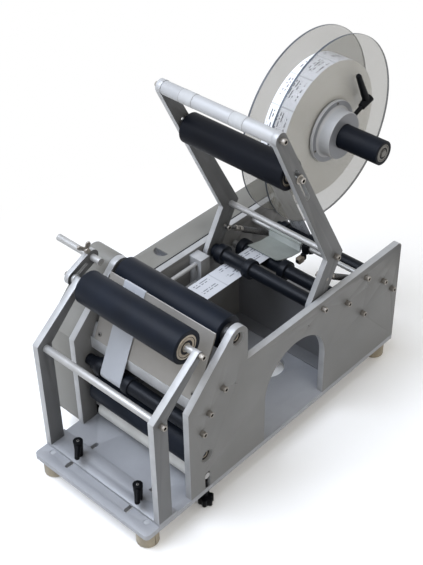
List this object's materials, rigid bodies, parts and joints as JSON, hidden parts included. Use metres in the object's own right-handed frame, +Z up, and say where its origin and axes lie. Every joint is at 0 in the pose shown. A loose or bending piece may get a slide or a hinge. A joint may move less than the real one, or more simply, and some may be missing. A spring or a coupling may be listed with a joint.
{
  "type": "labelling machine",
  "caption": "Bench labelling machine: a bottle turns on rollers under a hinged press arm while a motor draws a label web from a reel over a peel plate.",
  "frame": {"origin": "middle of the overall box, on the ground", "axes": "+Z up, the operator's side towards -Y, +X to the operator's right"},
  "size_m": [0.366, 0.8156, 0.626],
  "materials": {
    "anodised_plate": "bead-blasted, clear anodised",
    "roller_rubber": "satin black",
    "pinch_rubber": "matt grey",
    "foot_rubber": "cream, matt",
    "polished_steel": "ground",
    "screw_steel": "stainless",
    "bearing_steel": "ground",
    "handle_aluminium": "turned, satin",
    "black_plastic": "fine grain",
    "clear_disc": "clear sheet",
    "label_paper": "coated white",
    "box_sheet": "light grey paint",
    "motor_metal": "painted dark grey",
    "belt_rubber": "toothed, matt",
    "board_plastic": "solder resist"
  },
  "bodies": {
    "machine_frame": {"base_plate": "anodised_plate", "rubber_feet": "foot_rubber", "frame_screws": "screw_steel", "left_side_plate": "anodised_plate", "right_side_plate": "anodised_plate", "tie_rods": "polished_steel", "rail_blocks": "anodised_plate", "cross_bar": "anodised_plate", "peel_plate": "polished_steel", "control_box": "box_sheet", "control_box_lid": "box_sheet", "power_inlet": "black_plastic", "drive_motor": "motor_metal", "circuit_board": "board_plastic", "ball_bearings": "bearing_steel", "partition_wall": "box_sheet", "reel_post": "anodised_plate", "reel_axle": "polished_steel", "label_sensor": "black_plastic", "drive_belts": "belt_rubber", "label_web": "label_paper", "return_springs": "polished_steel"},
    "front_frame": {"sliding_plate": "anodised_plate", "left_front_arm": "anodised_plate", "right_front_arm": "anodised_plate", "front_frame_rods": "polished_steel"},
    "front_roller": {"front_roller": "roller_rubber", "front_roller_bearings": "bearing_steel"},
    "left_clamp_lever": {"left_clamp_lever": "black_plastic"},
    "right_clamp_lever": {"right_clamp_lever": "black_plastic"},
    "stop_link": {"stop_link": "anodised_plate"},
    "stop_rod": {"stop_rod": "polished_steel"},
    "stop_wing_screw": {"stop_wing_screw": "polished_steel"},
    "press_arm": {"left_press_arm": "anodised_plate", "right_press_arm": "anodised_plate", "handle_bar": "handle_aluminium", "elbow_rod": "polished_steel", "press_arm_screws": "screw_steel"},
    "press_roller_axle": {"press_roller_axle": "polished_steel"},
    "press_roller": {"press_roller": "roller_rubber"},
    "motor_pulley": {"motor_pulley": "polished_steel"},
    "drive_roller": {"drive_roller": "roller_rubber", "drive_shaft": "polished_steel"},
    "traction_roller": {"traction_roller": "roller_rubber"},
    "pinch_axle": {"pinch_axle": "polished_steel"},
    "pinch_roller": {"pinch_roller": "pinch_rubber"},
    "left_star_knob": {"left_star_knob": "black_plastic"},
    "right_star_knob": {"right_star_knob": "black_plastic"},
    "front_guide_bar": {"front_guide_bar": "black_plastic"},
    "middle_guide_bar": {"middle_guide_bar": "black_plastic"},
    "rear_guide_bar": {"rear_guide_bar": "black_plastic"},
    "lower_guide_roller": {"lower_guide_roller": "black_plastic"},
    "reel": {"reel_tube": "black_plastic", "inner_disc": "clear_disc", "label_roll": "label_paper"},
    "outer_disc": {"outer_disc": "clear_disc", "outer_hub": "handle_aluminium"},
    "hub_lever": {"hub_lever": "black_plastic"},
    "press_plate": {"press_plate": "box_sheet"},
    "rocker_switch": {"rocker_switch": "black_plastic"}
  },
  "joints": [
    {"name": "front_frame_slide", "type": "slide", "parent": "machine_frame", "child": "front_frame", "axis": [0, 1, 0], "range_m": [-0.023, 0.024]},
    {"name": "front_roller_spin", "type": "hinge", "parent": "front_frame", "child": "front_roller", "pos_m": [0.039, -0.27685, 0.34], "axis": [1, 0, 0], "continuous": true},
    {"name": "left_lever_turn", "type": "hinge", "parent": "front_frame", "child": "left_clamp_lever", "pos_m": [-0.032, -0.36185, 0.044], "axis": [0, 0, 1], "range_deg": [-60, 60]},
    {"name": "right_lever_turn", "type": "hinge", "parent": "front_frame", "child": "right_clamp_lever", "pos_m": [0.11, -0.36185, 0.044], "axis": [0, 0, 1], "range_deg": [-60, 60]},
    {"name": "stop_link_turn", "type": "hinge", "parent": "front_frame", "child": "stop_link", "pos_m": [-0.111, -0.27685, 0.34], "axis": [1, 0, 0], "range_deg": [-8, 6]},
    {"name": "stop_rod_slide", "type": "slide", "parent": "stop_link", "child": "stop_rod", "axis": [1, 0, 0], "range_m": [-0.06, 0.008]},
    {"name": "wing_screw_turn", "type": "hinge", "parent": "stop_link", "child": "stop_wing_screw", "pos_m": [-0.1065, -0.23483, 0.35871], "axis": [0, -0.4067, 0.9135], "range_deg": [-90, 90]},
    {"name": "press_arm_swing", "type": "hinge", "parent": "machine_frame", "child": "press_arm", "pos_m": [0.039, 0.01915, 0.246], "axis": [1, 0, 0], "range_deg": [0, 46], "stiffness_Nm_per_rad": 12, "springref_deg": -20.05, "deforming": ["return_springs"]},
    {"name": "press_roller_slide", "type": "slide", "parent": "press_arm", "child": "press_roller_axle", "axis": [0, -0.4545, 0.8907], "range_m": [-0.051, 0.018]},
    {"name": "press_roller_spin", "type": "hinge", "parent": "press_roller_axle", "child": "press_roller", "pos_m": [0.039, -0.03949, 0.52609], "axis": [1, 0, 0], "continuous": true},
    {"name": "motor_spin", "type": "hinge", "parent": "machine_frame", "child": "motor_pulley", "pos_m": [-0.084, -0.18985, 0.126], "axis": [1, 0, 0], "continuous": true},
    {"name": "drive_roller_spin", "type": "hinge", "parent": "machine_frame", "child": "drive_roller", "pos_m": [0.039, -0.19185, 0.317], "axis": [1, 0, 0], "continuous": true},
    {"name": "traction_roller_spin", "type": "hinge", "parent": "machine_frame", "child": "traction_roller", "pos_m": [0.039, -0.26635, 0.1173], "axis": [1, 0, 0], "continuous": true},
    {"name": "pinch_slide", "type": "slide", "parent": "machine_frame", "child": "pinch_axle", "axis": [0, 0, 1], "range_m": [-0.005, 0], "stiffness_N_per_m": 8000, "springref_m": 0.004},
    {"name": "pinch_roller_spin", "type": "hinge", "parent": "pinch_axle", "child": "pinch_roller", "pos_m": [0.039, -0.26635, 0.0702], "axis": [1, 0, 0], "continuous": true},
    {"name": "left_knob_turn", "type": "hinge", "parent": "machine_frame", "child": "left_star_knob", "pos_m": [-0.09, -0.26635, 0.024], "axis": [0, 0, 1], "range_deg": [-180, 180]},
    {"name": "right_knob_turn", "type": "hinge", "parent": "machine_frame", "child": "right_star_knob", "pos_m": [0.168, -0.26635, 0.024], "axis": [0, 0, 1], "range_deg": [-180, 180]},
    {"name": "front_guide_spin", "type": "hinge", "parent": "machine_frame", "child": "front_guide_bar", "pos_m": [0.039, 0.01915, 0.246], "axis": [1, 0, 0], "continuous": true},
    {"name": "middle_guide_spin", "type": "hinge", "parent": "machine_frame", "child": "middle_guide_bar", "pos_m": [0.039, 0.08615, 0.2175], "axis": [1, 0, 0], "continuous": true},
    {"name": "rear_guide_spin", "type": "hinge", "parent": "machine_frame", "child": "rear_guide_bar", "pos_m": [0.039, 0.19215, 0.203], "axis": [1, 0, 0], "continuous": true},
    {"name": "lower_guide_spin", "type": "hinge", "parent": "machine_frame", "child": "lower_guide_roller", "pos_m": [0.039, -0.27785, 0.1787], "axis": [1, 0, 0], "continuous": true},
    {"name": "reel_spin", "type": "hinge", "parent": "machine_frame", "child": "reel", "pos_m": [0.039, 0.23485, 0.4263], "axis": [1, 0, 0], "continuous": true},
    {"name": "outer_disc_slide", "type": "slide", "parent": "reel", "child": "outer_disc", "axis": [1, 0, 0], "range_m": [0, 0.06]},
    {"name": "hub_lever_turn", "type": "hinge", "parent": "outer_disc", "child": "hub_lever", "pos_m": [0.0283, 0.23485, 0.4263], "axis": [0, 0.9135, 0.4067], "range_deg": [-10, 60]},
    {"name": "press_plate_lift", "type": "hinge", "parent": "machine_frame", "child": "press_plate", "pos_m": [-0.043, 0.13815, 0.242], "axis": [1, 0, 0], "range_deg": [-60, 0]},
    {"name": "rocker_tilt", "type": "hinge", "parent": "machine_frame", "child": "rocker_switch", "pos_m": [-0.123, 0.23815, 0.138], "axis": [1, 0, 0], "range_deg": [0, 14]}
  ],
  "couplings": [
    {"joint": "motor_spin", "follows": "drive_roller_spin", "ratio": 1},
    {"joint": "traction_roller_spin", "follows": "drive_roller_spin", "ratio": 1},
    {"joint": "pinch_roller_spin", "follows": "drive_roller_spin", "ratio": -1.5556}
  ]
}
